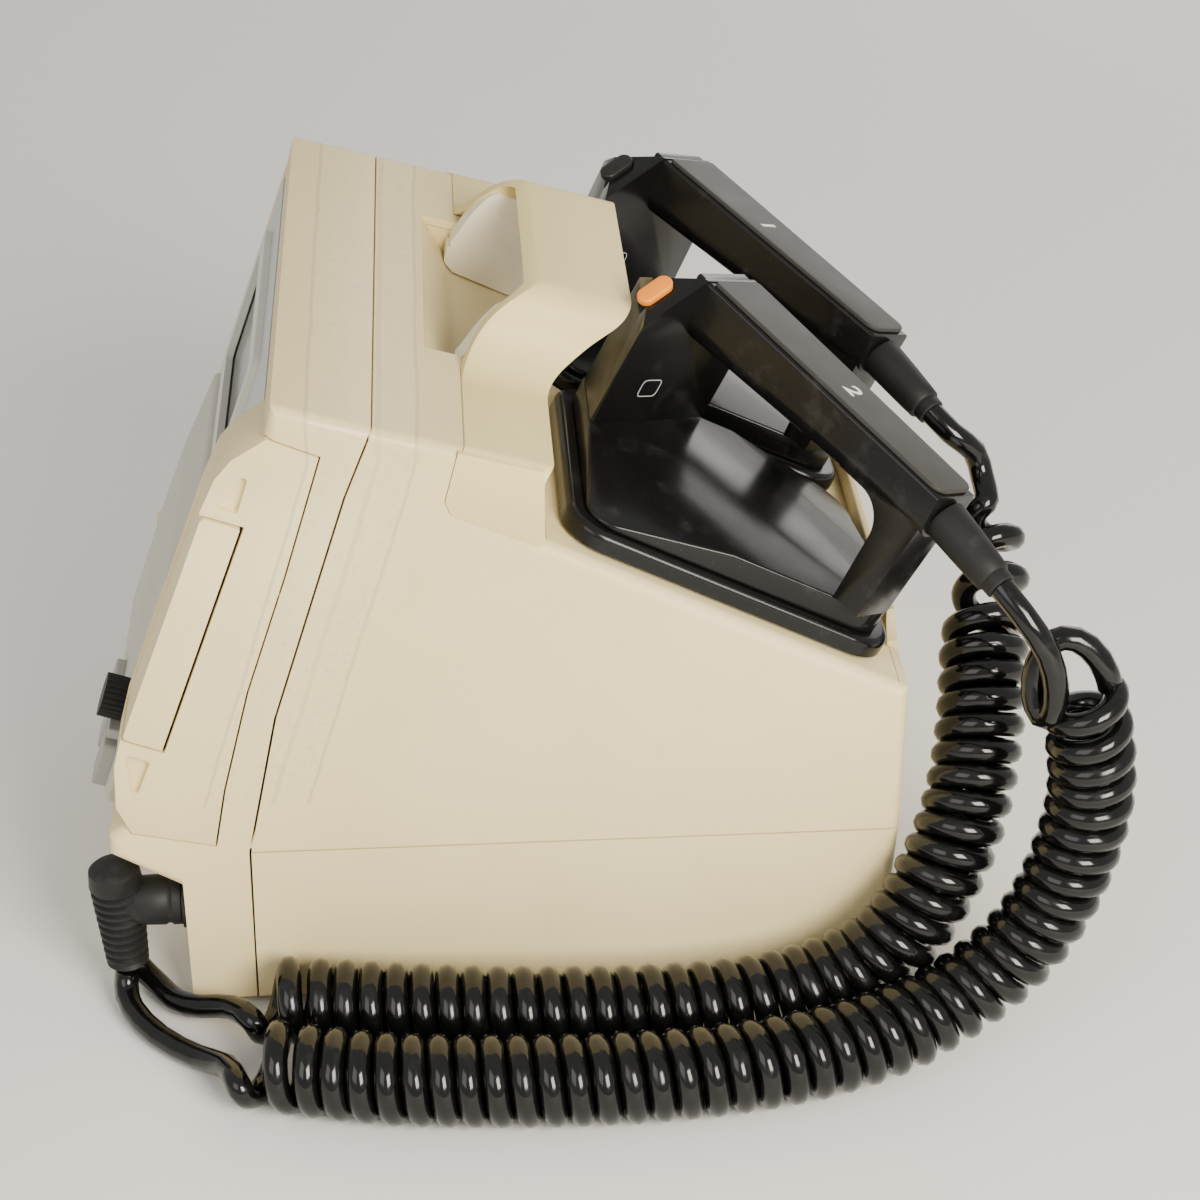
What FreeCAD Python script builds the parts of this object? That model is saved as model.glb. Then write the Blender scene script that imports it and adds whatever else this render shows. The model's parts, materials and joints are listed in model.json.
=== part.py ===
import FreeCAD, Part
import math
import os
import Sketcher
from FreeCAD import Vector, Placement, Rotation, Matrix

# Defibrillator with two hard paddles on coiled leads.
# Frame: +X is the side with the recorder, -Y the front with the controls, +Z up,
# origin on the surface it stands on, below the middle of the case. Millimetres.

doc = FreeCAD.newDocument("defibrillator")
sheet = doc.addObject("Spreadsheet::Sheet", "Sizes")

SIZES = [
    ("case_width", 268.0, "across the two flat sides"),
    ("case_depth", 314.0, "front lip to rear face"),
    ("brow_high", 272.5, "top of the front edge above the floor"),
    ("brow_back", 75.0, "front lip to the top front corner"),
    ("top_fall", 16.0, "degrees the top falls to the rear"),
    ("tray_start", 173.0, "front lip to the paddle tray"),
    ("tray_front_high", 213.0, "tray height at its front"),
    ("tray_rear_high", 142.0, "tray height at its rear"),
    ("seam_high", 77.0, "height of the seam with the bottom case"),
    ("foot_high", 5.0, "rubber foot height"),
    ("foot_radius", 11.0, "rubber foot radius"),
    ("plinth_size", 110.0, "moulded plinth under the case"),
    ("wall", 3.5, "case wall"),
    ("side_round", 5.0, "rounding of the long side edges"),
    ("seam_gap", 0.7, "gap between case mouldings"),
    ("joint_gap", 0.9, "gap between front and rear case"),
    ("fit_gap", 0.25, "clearance of parts that seat in others"),
    ("strap_thick", 2.2, "carry handle feet"),
    ("grip_wall", 3.0, "carry handle grip moulding"),
    ("grip_half", 58.0, "half width of the raised grip"),
    ("grip_rise", 33.0, "grip top above the case top"),
    ("grip_aside", -11.0, "middle of the grip from the middle of the case"),
    ("cup_half", 65.0, "half width of the finger cup"),
    ("module_width", 34.0, "recorder module across X"),
    ("recess_depth", 2.5, "grip marks on the module side"),
    ("door_gap", 1.2, "gap round the recorder door"),
    ("roll_radius", 8.5, "recorder paper roll"),
    ("knob_radius", 9.0, "energy knob"),
    ("knob_high", 9.5, "energy knob length"),
    ("knob_across", 80.0, "energy knob centre from the middle"),
    ("key_wide", 16.0, "push key width"),
    ("key_tall", 20.0, "push key up the panel"),
    ("key_high", 8.0, "push key length along its travel"),
    ("key_proud", 4.0, "push key in front of the panel"),
    ("panel_proud", 12.0, "control panel in front of the fascia"),
    ("paddle_spacing", 134.0, "between the two paddle centres"),
    ("flange_wide", 122.0, "paddle flange across X"),
    ("flange_long", 140.0, "paddle flange along the tray"),
    ("flange_thick", 7.5, "paddle flange"),
    ("electrode_thick", 1.2, "metal face of a paddle"),
    ("base_high", 20.0, "top of the paddle base above the tray"),
    ("shield_high", 65.0, "shoulder of the finger shield"),
    ("grip_high", 89.0, "top of the paddle grip above the tray"),
    ("grip_wide", 34.0, "paddle grip at the shield"),
    ("grip_thick", 22.0, "paddle grip"),
    ("paddle_turn", 42.0, "degrees from +X to the grip, in the tray"),
    ("button_long", 16.0, "shock button"),
    ("button_wide", 7.5, "shock button"),
    ("relief_radius", 7.6, "paddle strain relief"),
    ("relief_long", 37.0, "paddle strain relief"),
    ("cord_radius", 5.0, "coiled lead's own cord"),
    ("coil_radius", 18.5, "outside of the coiled lead"),
    ("board_thick", 1.6, "circuit boards"),
    ("capacitor_radius", 27.0, "energy capacitor"),
    ("capacitor_long", 105.0, "energy capacitor"),
    ("screw_radius", 3.2, "case screw heads"),
]
for row, (alias, value, note) in enumerate(SIZES, start=1):
    sheet.set("A%d" % row, alias)
    sheet.set("B%d" % row, str(value))
    sheet.set("C%d" % row, note)
    sheet.setAlias("B%d" % row, alias)
doc.recompute()


def size(alias):
    return float(sheet.get(alias))


def ref(alias):
    return "Sizes." + alias


parts = []          # objects that are written, in order


def keep(obj, label, place=None):
    obj.Label = label
    if place is not None:
        obj.Placement = place
    parts.append(obj)
    return obj


def feature(label, shape, place=Placement()):
    obj = doc.addObject("Part::Feature", label)
    obj.Shape = shape
    return keep(obj, label, place.multiply(shape.Placement))


# ---- sketched bodies ---------------------------------------------------------------

def origin_plane(body, role):
    for item in body.Origin.OriginFeatures:
        if item.Role == role:
            return item
    raise ValueError(role)


def centred_rectangle(body, name, wide, deep):
    """Sketch of a rectangle about the origin, its two sizes bound to expressions."""
    sketch = body.newObject("Sketcher::SketchObject", name)
    sketch.AttachmentSupport = [(origin_plane(body, "XY_Plane"), "")]
    sketch.MapMode = "FlatFace"
    corners = [Vector(-10, -10, 0), Vector(10, -10, 0), Vector(10, 10, 0), Vector(-10, 10, 0)]
    for i in range(4):
        sketch.addGeometry(Part.LineSegment(corners[i], corners[(i + 1) % 4]), False)
    for i in range(4):
        sketch.addConstraint(Sketcher.Constraint("Coincident", i, 2, (i + 1) % 4, 1))
    for i in (0, 2):
        sketch.addConstraint(Sketcher.Constraint("Horizontal", i))
    for i in (1, 3):
        sketch.addConstraint(Sketcher.Constraint("Vertical", i))
    sketch.addConstraint(Sketcher.Constraint("Symmetric", 0, 1, 2, 1, -1, 1))
    for kind, edge, expression in (("DistanceX", 0, wide), ("DistanceY", 1, deep)):
        number = sketch.addConstraint(Sketcher.Constraint(kind, edge, 1, edge, 2, 20.0))
        sketch.setExpression("Constraints[%d]" % number, expression)
    return sketch


def centred_circle(body, name, radius):
    sketch = body.newObject("Sketcher::SketchObject", name)
    sketch.AttachmentSupport = [(origin_plane(body, "XY_Plane"), "")]
    sketch.MapMode = "FlatFace"
    sketch.addGeometry(Part.Circle(Vector(0, 0, 0), Vector(0, 0, 1), 10.0), False)
    sketch.addConstraint(Sketcher.Constraint("Coincident", 0, 3, -1, 1))
    number = sketch.addConstraint(Sketcher.Constraint("Radius", 0, 10.0))
    sketch.setExpression("Constraints[%d]" % number, radius)
    return sketch


def pad(body, sketch, length):
    feature_pad = body.newObject("PartDesign::Pad", "Pad")
    feature_pad.Profile = sketch
    feature_pad.setExpression("Length", length)
    doc.recompute()
    return feature_pad


def upright_edges(shape):
    names = []
    for i, edge in enumerate(shape.Edges, start=1):
        ends = edge.Vertexes
        if len(ends) == 2 and (ends[0].Point - ends[1].Point).cross(Vector(0, 0, 1)).Length < 1e-6:
            names.append("Edge%d" % i)
    return names


def top_edges(shape):
    high = shape.BoundBox.ZMax
    return ["Edge%d" % i for i, e in enumerate(shape.Edges, start=1)
            if e.BoundBox.ZMin > high - 1e-6]


def fillet(body, base, names, radius):
    rounding = body.newObject("PartDesign::Fillet", "Fillet")
    rounding.Base = (base, names)
    rounding.Radius = radius
    doc.recompute()
    return rounding


def block(label, wide, deep, high, place, corner=0.0, top=0.0):
    """Padded rectangle, standing on its local XY plane, with rounded corners and top."""
    body = doc.addObject("PartDesign::Body", label)
    last = pad(body, centred_rectangle(body, "Outline", wide, deep), high)
    if corner > 0:
        last = fillet(body, last, upright_edges(last.Shape), corner)
    if top > 0:
        last = fillet(body, last, top_edges(last.Shape), top)
    return keep(body, label, place)


def drum(label, radius, high, place, top=0.0):
    body = doc.addObject("PartDesign::Body", label)
    last = pad(body, centred_circle(body, "Outline", radius), high)
    if top > 0:
        last = fillet(body, last, top_edges(last.Shape), top)
    return keep(body, label, place)


# ---- shapes in code ----------------------------------------------------------------

def rounded_wire(points, radius, closed=True):
    """Wire through points, each corner replaced by a tangent arc of its own radius."""
    count = len(points)
    radii = radius if isinstance(radius, (list, tuple)) else [radius] * count
    starts, ends, arcs = [], [], []
    for i in range(count):
        here = points[i]
        if radii[i] <= 0 or (not closed and i in (0, count - 1)):
            starts.append(here)
            ends.append(here)
            arcs.append(None)
            continue
        to_last = (points[i - 1] - here).normalize()
        to_next = (points[(i + 1) % count] - here).normalize()
        half = to_last.getAngle(to_next) / 2.0
        reach = radii[i] / math.tan(half)
        bisector = (to_last + to_next).normalize()
        middle = here + bisector * (radii[i] / math.sin(half) - radii[i])
        starts.append(here + to_last * reach)
        ends.append(here + to_next * reach)
        arcs.append(Part.Arc(starts[-1], middle, ends[-1]).toShape())
    edges = []
    for i in range(count):
        if arcs[i] is not None:
            edges.append(arcs[i])
        if closed or i < count - 1:
            nxt = (i + 1) % count
            if (ends[i] - starts[nxt]).Length > 1e-6:
                edges.append(Part.LineSegment(ends[i], starts[nxt]).toShape())
    return Part.Wire(edges)


def yz_prism(outline, x_low, x_high, radius=0.0):
    wire = rounded_wire([Vector(x_low, y, z) for y, z in outline], radius)
    return Part.Face(wire).extrude(Vector(x_high - x_low, 0, 0))


def box_between(low, high):
    low, high = Vector(*low), Vector(*high)
    span = high - low
    return Part.makeBox(span.x, span.y, span.z, low)


def bar_between(start, end, radius):
    axis = end - start
    return Part.makeCylinder(radius, axis.Length, start, axis)


def rounded_slab(wide, deep, low, high, corner):
    """Rounded rectangle about the Z axis, from low to high."""
    outline = [Vector(sx * wide / 2, sy * deep / 2, low)
               for sx, sy in ((-1, -1), (1, -1), (1, 1), (-1, 1))]
    return Part.Face(rounded_wire(outline, corner)).extrude(Vector(0, 0, high - low))


def cord_tube(points, radius):
    """Round tube whose centre line is straight runs joined by tangent arcs."""
    count = len(points)
    radii = [0.0] * count
    for i in range(1, count - 1):
        back, ahead = points[i - 1] - points[i], points[i + 1] - points[i]
        turn = math.pi - back.getAngle(ahead)
        radii[i] = 0.45 * min(back.Length, ahead.Length) / math.tan(turn / 2)
    path = rounded_wire(points, radii, closed=False)
    start = (points[1] - points[0]).normalize()
    profile = Part.Wire(Part.makeCircle(radius, points[0], start))
    tube = path.makePipeShell([profile], True, False)
    print("cord", [round(r) for r in radii[1:-1]], "length", round(path.Length),
          "volume ratio", round(tube.Volume / (math.pi * radius ** 2 * path.Length), 4))
    return tube


# ---- places worked out from the sizes ----------------------------------------------

half_width = size("case_width") / 2
front = -size("case_depth") / 2
rear = size("case_depth") / 2
wall = size("wall")
fit = size("fit_gap")
base_level = size("foot_high")
seam = size("seam_high")
brow_y = front + size("brow_back")
top_slope = math.tan(math.radians(size("top_fall")))
tray_y = front + size("tray_start")
tray_front = size("tray_front_high")
tray_rear = size("tray_rear_high")
recess_y = front + 28.0             # set-back face below the front lip
recess_top = seam - 17.0
fascia_low = Vector(0, front + 5.1, seam + 1.0)
fascia_high = Vector(0, brow_y - 2.5, size("brow_high") - 10.0)


def top_level(y):
    return size("brow_high") - top_slope * (y - brow_y)


tray_angle = math.atan2(tray_front - tray_rear, rear - tray_y)
tray_length = math.hypot(tray_front - tray_rear, rear - tray_y)


def tray_frame(x, along, turn=0.0):
    """Placement with Z out of the tray, Y down its slope, then turned about Z."""
    origin = Vector(x, tray_y + along * math.cos(tray_angle),
                    tray_front - along * math.sin(tray_angle))
    tilt = Rotation(Vector(1, 0, 0), -math.degrees(tray_angle))
    return Placement(origin, tilt * Rotation(Vector(0, 0, 1), turn))


fascia_up = (fascia_high - fascia_low).normalize()
fascia_out = Vector(1, 0, 0).cross(fascia_up) * -1.0
if fascia_out.y > 0:
    fascia_out = fascia_out * -1.0


def fascia_frame(x, up, out=0.0):
    """Placement on the fascia with Z out of it and Y up it."""
    origin = fascia_low + fascia_up * up + fascia_out * out + Vector(x, 0, 0)
    matrix = Matrix(1, 0, 0, 0,
                    0, fascia_up.y, fascia_out.y, 0,
                    0, fascia_up.z, fascia_out.z, 0,
                    0, 0, 0, 1)
    place = Placement(matrix)
    place.Base = origin
    return place


# ---- case mouldings ----------------------------------------------------------------

joint_line = [(front + 54.0, base_level - 10), (front + 54.4, seam - 49),
              (front + 55.5, seam), (front + 69.0, seam + 62.5),
              (front + 100.0, seam + 158.0), (front + 111.0, top_level(front + 111.0)),
              (front + 116.0, size("brow_high") + 40)]

lip_rise = 15.0
lip_slant = lip_rise * (fascia_high.y - fascia_low.y) / (fascia_high.z - fascia_low.z)
case_outline = [
    (recess_y, base_level), (recess_y, recess_top), (front + 0.4, seam), (front + 0.8, seam + 9.0),
    (fascia_low.y + lip_slant, fascia_low.z + lip_rise), (fascia_high.y, fascia_high.z),
    (brow_y, size("brow_high")), (tray_y, top_level(tray_y)), (tray_y, tray_front),
    (rear, tray_rear), (rear, seam), (rear - 4.0, base_level),
]


def case_shell():
    outline = Part.Face(rounded_wire([Vector(0, y, z) for y, z in case_outline], 0))
    inner = outline.makeOffset2D(-wall, 2)
    solid = outline.extrude(Vector(size("case_width"), 0, 0))
    solid.translate(Vector(-half_width, 0, 0))
    long_edges = []
    for edge in solid.Edges:
        box = edge.BoundBox
        on_side = box.XLength < 1e-6
        above = box.ZMin > base_level + 1e-3 or box.ZLength > 40
        if on_side and above and box.ZMin > seam - 20:
            long_edges.append(edge)
    solid = solid.makeFillet(size("side_round"), long_edges)
    hollow = inner.extrude(Vector(size("case_width") - 2 * wall, 0, 0))
    hollow.translate(Vector(-half_width + wall, 0, 0))
    return solid.cut(hollow)


def joint_region(offset, to_rear):
    """Everything behind (or in front of) the joint line moved by offset along Y."""
    line = [(y + offset, z) for y, z in joint_line]
    far = rear + 60 if to_rear else front - 60
    return yz_prism(line + [(far, line[-1][1]), (far, line[0][1])],
                    -half_width - 20, half_width + 20)


shell = case_shell()
rear_region = joint_region(size("joint_gap") / 2, True)
front_region = joint_region(-size("joint_gap") / 2, False)
above_seam = box_between((-half_width - 30, front - 70, seam + size("seam_gap") / 2),
                         (half_width + 30, rear + 70, size("brow_high") + 90))
below_seam = box_between((-half_width - 30, front - 70, base_level - 1),
                         (half_width + 30, rear + 70, seam - size("seam_gap") / 2))

# recorder module outline, on the +X side, seen from the side
module_x = half_width - size("module_width")
module_outline = [
    (front + 73.0, top_level(brow_y) - 12.5), (front + 91.5, top_level(brow_y) - 20.7),
    (front + 76.0, seam + 125.0), (front + 59.0, seam + 75.0),
    (front + 47.2, seam + 30.0), (front + 42.2, seam + 4.3),
    (front + 10.0, seam + 11.6), (front + 5.0, seam + 24.0), (front + 6.0, seam + 43.0),
    (front + 10.5, seam + 59.0), (front + 47.0, seam + 154.0), (front + 53.4, seam + 167.4),
    (front + 60.0, seam + 175.0),
]
door_outline = [(front + 47.3, seam + 151.5), (front + 61.3, seam + 146.3),
                (front + 25.0, seam + 50.0), (front + 10.3, seam + 56.0)]


def grown(outline, amount, x_low, x_high):
    face = Part.Face(rounded_wire([Vector(x_low, y, z) for y, z in outline], 0))
    return face.makeOffset2D(amount, 2).extrude(Vector(x_high - x_low, 0, 0))


# handle: an arch across the top, cut out of a slanted slab
slide_back = Vector(0, math.cos(math.radians(size("top_fall"))),
                    -math.sin(math.radians(size("top_fall"))))
arch_y = tray_y - 40.0
grip_mid = size("grip_aside")
handle_front = [(tray_y - 31.5, tray_front + 36), (tray_y - 28.0, tray_front + 40.5),
                (tray_y - 21.2, tray_front + 49.5), (tray_y - 14.0, tray_front + 56.3),
                (tray_y - 7.5, tray_front + 60.3), (tray_y - 1.0, tray_front + 62.6),
                (tray_y + 7.0, tray_front + 63.6)]
handle_rear = [(tray_y + 41.5, tray_front + 58.0), (tray_y + 38.0, tray_front + 51.8),
               (tray_y + 24.9, tray_front + 43.2), (tray_y + 15.0, tray_front + 37.5),
               (tray_y + 7.0, tray_front + 33.0), (tray_y + 2.0, tray_front + 28.5),
               (tray_y + fit, tray_front + 21.0)]


def spline_edge(points):
    curve = Part.BSplineCurve()
    curve.interpolate([Vector(0, y, z) for y, z in points])
    return curve.toShape()


def handle_slab(inset, low):
    """Side view of the strap, extruded right across, pulled in by inset at both edges."""
    first = [(y + inset, z) for y, z in handle_front]
    last = [(y - inset, z) for y, z in handle_rear]
    loop = [(first[-1][0], first[-1][1] + 60), (last[0][0], last[0][1] + 60)]
    under = [(last[-1][0], low), (first[0][0], low)]
    edges = [spline_edge(first),
             Part.LineSegment(Vector(0, *first[-1]), Vector(0, *loop[0])).toShape(),
             Part.LineSegment(Vector(0, *loop[0]), Vector(0, *loop[1])).toShape(),
             Part.LineSegment(Vector(0, *loop[1]), Vector(0, *last[0])).toShape(),
             spline_edge(last),
             Part.LineSegment(Vector(0, *last[-1]), Vector(0, *under[0])).toShape(),
             Part.LineSegment(Vector(0, *under[0]), Vector(0, *under[1])).toShape(),
             Part.LineSegment(Vector(0, *under[1]), Vector(0, *first[0])).toShape()]
    slab = Part.Face(Part.Wire(edges)).extrude(Vector(2 * half_width + 40, 0, 0))
    slab.translate(Vector(-half_width - 20, 0, 0))
    return slab


def arch(outer, inner, foot):
    """Arch seen from the front: outer and inner rise above the top, foot its thickness."""
    level = top_level(arch_y)
    hip = size("grip_half") + 12.0
    knee = size("grip_half") - 0.5
    above = 0.6
    reach = half_width + above
    side = half_width - foot
    raised = [(-hip, above), (-knee, outer), (knee, outer), (hip, above)]
    under = [(hip - 5, -foot), (knee - 4, inner), (4 - knee, inner), (5 - hip, -foot)]
    loop = [(-reach, -12), (-reach, above)] + [(grip_mid + x, up) for x, up in raised]
    loop += [(reach, above), (reach, -12), (side, -12), (side, -foot)]
    loop += [(grip_mid + x, up) for x, up in under] + [(-side, -foot), (-side, -12)]
    edge = size("side_round") + above
    radii = [0, edge, 28, 14, 14, 28, edge, 0, 0, 3, 30, 11, 11, 30, 3, 0]
    wire = rounded_wire([Vector(x, arch_y, level + up) for x, up in loop], radii)
    return Part.Face(wire).extrude(slide_back * 112.0)


def side_tab(side, clearance):
    """Foot of the strap on one side face."""
    outline = [(tray_y - 31.0 - clearance, top_level(tray_y - 31.0) - 1.0),
               (tray_y - 36.3 - clearance, tray_front + 19.0),
               (tray_y - 34.0 - clearance, tray_front + 13.4 - clearance),
               (tray_y + fit, tray_front - 1.5 - clearance),
               (tray_y + fit, top_level(tray_y) - 1.0)]
    low = side * (half_width - size("strap_thick") - clearance)
    high = side * (half_width + 0.6)
    return yz_prism(outline, min(low, high), max(low, high), [0, 3, 4, 2, 0])


def handle_shape(clearance):
    body = arch(size("grip_rise"), size("grip_rise") - size("grip_wall"),
                size("strap_thick") + clearance).common(handle_slab(-clearance, tray_front))
    for side in (-1, 1):
        body = body.fuse(side_tab(side, clearance))
    return body.removeSplitter()


handle = handle_shape(0.0)
handle_room = handle_shape(fit)

# finger cup under the grip, open to the rear above the tray
cup_top = top_level(tray_y - 42.5)
cup_outline = [(tray_y - 42.5, cup_top + 6), (tray_y - 42.5, cup_top - 1),
               (tray_y - 31.0, tray_front + 21.5), (tray_y - 2.0, tray_front + 7.5),
               (tray_y + 3.0, tray_front + 7.0), (tray_y + 3.0, cup_top + 6)]
cup_turns = [0, 3, 9, 0, 0, 0]
cup_wall = 2.5
cup_low, cup_high = grip_mid - size("cup_half"), grip_mid + size("cup_half")
cup_room = yz_prism(cup_outline, cup_low, cup_high, cup_turns)
cup_below = [(y - cup_wall, z - cup_wall) for y, z in cup_outline[:3]]
cup_back = tray_y - wall - fit
cup_below += [(cup_back, tray_front + 6.0), (cup_back, tray_front + 50)]
cup_block = yz_prism(cup_below, cup_low - cup_wall, cup_high + cup_wall, [0, 3, 9, 0, 0])

rear_case = shell.common(rear_region).common(above_seam)
rear_case = rear_case.cut(handle_room).cut(cup_room)
tray_room = box_between((-half_width + wall + 1, 1.0, -30.0), (half_width - wall - 1, tray_length - wall, 30.0))
tray_room.Placement = tray_frame(0, 0)
tray_room = tray_room.common(yz_prism([(tray_y, 0), (rear - wall, 0), (rear - wall, 400), (tray_y, 400)],
                                      -half_width, half_width))
rear_case = rear_case.cut(tray_room)
feature("rear_case", rear_case)

lower_case = shell.common(rear_region).common(below_seam)
plinth = rounded_slab(size("plinth_size"), size("plinth_size"), 0, base_level + 1, 6)
lower_case = lower_case.fuse(plinth).removeSplitter()
feature("lower_case", lower_case)

front_case = shell.common(front_region)
fascia_room = box_between((-half_width + 14, -400, fascia_low.z + 0.5),
                          (module_x - 1.5, fascia_high.y + 8, fascia_high.z - 3.0))
front_case = front_case.cut(fascia_room)
front_case = front_case.cut(grown(module_outline, size("seam_gap"), module_x - size("seam_gap"),
                                  half_width + 5))

inner_cup = cup_block.cut(cup_room)
inside_case = Part.Face(rounded_wire([Vector(-half_width, y, z) for y, z in case_outline], 0)
                        ).makeOffset2D(-wall - fit, 2).extrude(Vector(2 * half_width, 0, 0))
feature("finger_cup", inner_cup.common(inside_case).common(rear_region))

feature("carry_handle", handle)

# pale liner plates on the inside of the handle's two legs
liner_outline = [(tray_y - 29.2, tray_front + 45.0), (tray_y - 33.7, tray_front + 27.0),
                 (tray_y - 30.2, tray_front + 22.0), (tray_y - 4.2, tray_front + 9.4),
                 (tray_y - 0.3, tray_front + 11.2), (tray_y + 5.0, tray_front + 32.3),
                 (tray_y + 3.7, tray_front + 49.0), (tray_y - 0.4, tray_front + 54.0),
                 (tray_y - 9.7, tray_front + 57.0), (tray_y - 20.1, tray_front + 54.2)]
liner_in = size("grip_half") - 5.0
liner_out = size("cup_half") - 0.4
liner_base = top_level(tray_y) - 6.0
strap_side = handle_slab(1.0, tray_front)
liners = []
for side in (-1, 1):
    ends = sorted((grip_mid + side * liner_in, grip_mid + side * liner_out))
    liner = yz_prism(liner_outline, ends[0], ends[1], 2.5)
    upper = liner.common(strap_side)
    lower = liner.common(box_between((-half_width, tray_y - 60, tray_front),
                                     (half_width, tray_y - 0.1, liner_base + 8)))
    floor_below = yz_prism([(tray_y - 60, tray_front - 60)]
                           + [(y, z + fit) for y, z in cup_outline[1:5]]
                           + [(tray_y + 3.0, tray_front - 60)], cup_low, cup_high,
                           [0, 3, 9, 0, 0, 0])
    liner = upper.fuse(lower).cut(handle_shape(0.05)).cut(floor_below).cut(rear_case)
    liners.append(max(liner.Solids, key=lambda s: s.Volume))
feature("handle_liner", Part.makeCompound(liners))

# paddle tray: sloped plate with a sunk seat for the sternum paddle, and a raised rear rim
apex_x = size("paddle_spacing") / 2 - 1.0
grip_line = math.radians(size("paddle_turn") + 90.0)
rocked = Placement(Vector(0, 0, -3.0), Rotation(Vector(math.cos(grip_line), math.sin(grip_line), 0), -2.86))
paddle_seats = {"apex": tray_frame(apex_x, 77.0),
                "sternum": tray_frame(0.5 - apex_x, 75.5, -1.5).multiply(rocked)}
tray_half = half_width - wall - 1 - fit
plate = box_between((-tray_half, 1.0 + fit, -3.0), (tray_half, tray_length - wall - 0.6, 0.0))
plate.Placement = tray_frame(0, 0)
plate = plate.common(yz_prism([(tray_y + fit, 0), (rear - wall - fit, 0), (rear - wall - fit, 400),
                               (tray_y + fit, 400)], -half_width, half_width))
pocket_gap, pocket_wall = 1.4, 2.5
pocket = rounded_slab(size("flange_wide") + 2 * pocket_gap, size("flange_long") + 2 * pocket_gap, -0.4, 40, 18)
pocket.Placement = paddle_seats["sternum"]
pan = rounded_slab(size("flange_wide") + 2 * pocket_gap + 5, size("flange_long") + 2 * pocket_gap + 5,
                   -0.4 - pocket_wall, 40, 20)
pan.Placement = paddle_seats["sternum"]
tray_depth = box_between((-tray_half, 1.0 + fit, -25.0), (tray_half, tray_length - wall - 0.6, 0.0))
tray_depth.Placement = tray_frame(0, 0)
behind_wall = box_between((-half_width, tray_y + fit, 0), (half_width, rear - wall - fit, 400))
tray_depth = tray_depth.common(behind_wall)
plate = plate.fuse(pan.common(tray_depth)).cut(pocket)
rim_half = half_width - 30.0
rim_wall = 4.5
rim = yz_prism([(rear - 0.3, tray_rear + 0.4), (rear - 0.3, tray_rear + 14.0),
                (rear - rim_wall + 0.8, tray_rear + 13.6), (rear - rim_wall, tray_rear + 2.7)],
               -rim_half, rim_half, [0, 1.2, 1.2, 0])
for side in (-1, 1):
    rim = rim.cut(bar_between(Vector(side * (rim_half + 4), rear - 40, tray_rear + 18),
                              Vector(side * (rim_half + 4), rear + 5, tray_rear + 18), 14))
feature("paddle_tray", plate.removeSplitter())
feature("tray_rim", rim)

# ---- recorder module -----------------------------------------------------------------
door_x = module_x + 4.0
module = grown(module_outline, -0.01, module_x, half_width + 0.2)
cavity = grown(module_outline, -3.0, module_x + 3, half_width - 3)
door_room = grown(door_outline, size("door_gap"), door_x - size("door_gap"), half_width + 5)
ahead = [(y - 30, z + 10) for y, z in (door_outline[0], door_outline[3])]
door_way = yz_prism([door_outline[0], door_outline[1], door_outline[2], door_outline[3], ahead[1], ahead[0]],
                    door_x - size("door_gap"), half_width + 5)
module = module.cut(cavity).cut(door_room).cut(door_way)
marks = ([(front + 67.5, seam + 173.0), (front + 52.5, seam + 156.0), (front + 60.5, seam + 152.3)],
         [(front + 10.8, seam + 48.5), (front + 20.0, seam + 44.7), (front + 11.8, seam + 24.6)])
for mark in marks:
    module = module.cut(yz_prism(mark, half_width - size("recess_depth"), half_width + 5, 1.6))
    back = yz_prism(mark, half_width - size("recess_depth") - 2.0, half_width - size("recess_depth"), 1.6)
    module = module.fuse(back.common(cavity.fuse(back)))
feature("recorder_module", module.removeSplitter())

door = yz_prism(door_outline, door_x, half_width + 0.6, [2, 1, 1, 2])
door = door.cut(grown(door_outline, -2.5, door_x + 2.5, half_width - 2.5))
hinge_y, hinge_z = door_outline[3][0] + 3.4, door_outline[3][1] + 2.4
pin_radius = 1.2
pin_start = Vector(door_x - size("door_gap"), hinge_y, hinge_z)
pin_end = Vector(half_width - 4.0, hinge_y, hinge_z)
knuckle = bar_between(Vector(door_x, hinge_y, hinge_z), Vector(half_width - 1, hinge_y, hinge_z), 3.2)
knuckle = knuckle.common(yz_prism(door_outline, door_x, half_width, 0))
door = door.fuse(knuckle).cut(bar_between(pin_start, pin_end + Vector(0.5, 0, 0), pin_radius + fit))
feature("recorder_door", door.removeSplitter())
feature("door_hinge_pin", bar_between(pin_start, pin_end, pin_radius))

roll_y, roll_z = front + 55.5, seam + 102.0
roll_start = Vector(module_x + 3.5, roll_y, roll_z)
roll_end = Vector(half_width - 3.5, roll_y, roll_z)
roll = bar_between(roll_start, roll_end, size("roll_radius"))
feature("paper_roll", roll.cut(bar_between(roll_start, roll_end, 2.5 + fit)))
roll_gap = Vector(0.5, 0, 0)
feature("roll_spindle", bar_between(roll_start - roll_gap, roll_end + roll_gap, 2.5))

# ---- front panel ---------------------------------------------------------------------
fascia_wide = (module_x - 2.0) - (-half_width + 14.5)
fascia_mid = ((module_x - 2.0) + (-half_width + 14.5)) / 2
fascia_tall = (fascia_high - fascia_low).Length - 8.0
panel_tall = 95.0
window_up = panel_tall + (fascia_tall - panel_tall) / 2 + 1.0

fascia = box_between((-fascia_wide / 2, -fascia_tall / 2, -3.0), (fascia_wide / 2, fascia_tall / 2, 0.0))
window_wide, window_tall = 118.0, 56.0
window_x = -28.0 - fascia_mid
window_y = window_up - (fascia_tall / 2 + 2.0)
opening = box_between((window_x - window_wide / 2, window_y - window_tall / 2, -4),
                      (window_x + window_wide / 2, window_y + window_tall / 2, 4))
fascia = fascia.cut(opening)
feature("front_fascia", fascia, fascia_frame(fascia_mid, fascia_tall / 2 + 2.5, 0.0))

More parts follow.
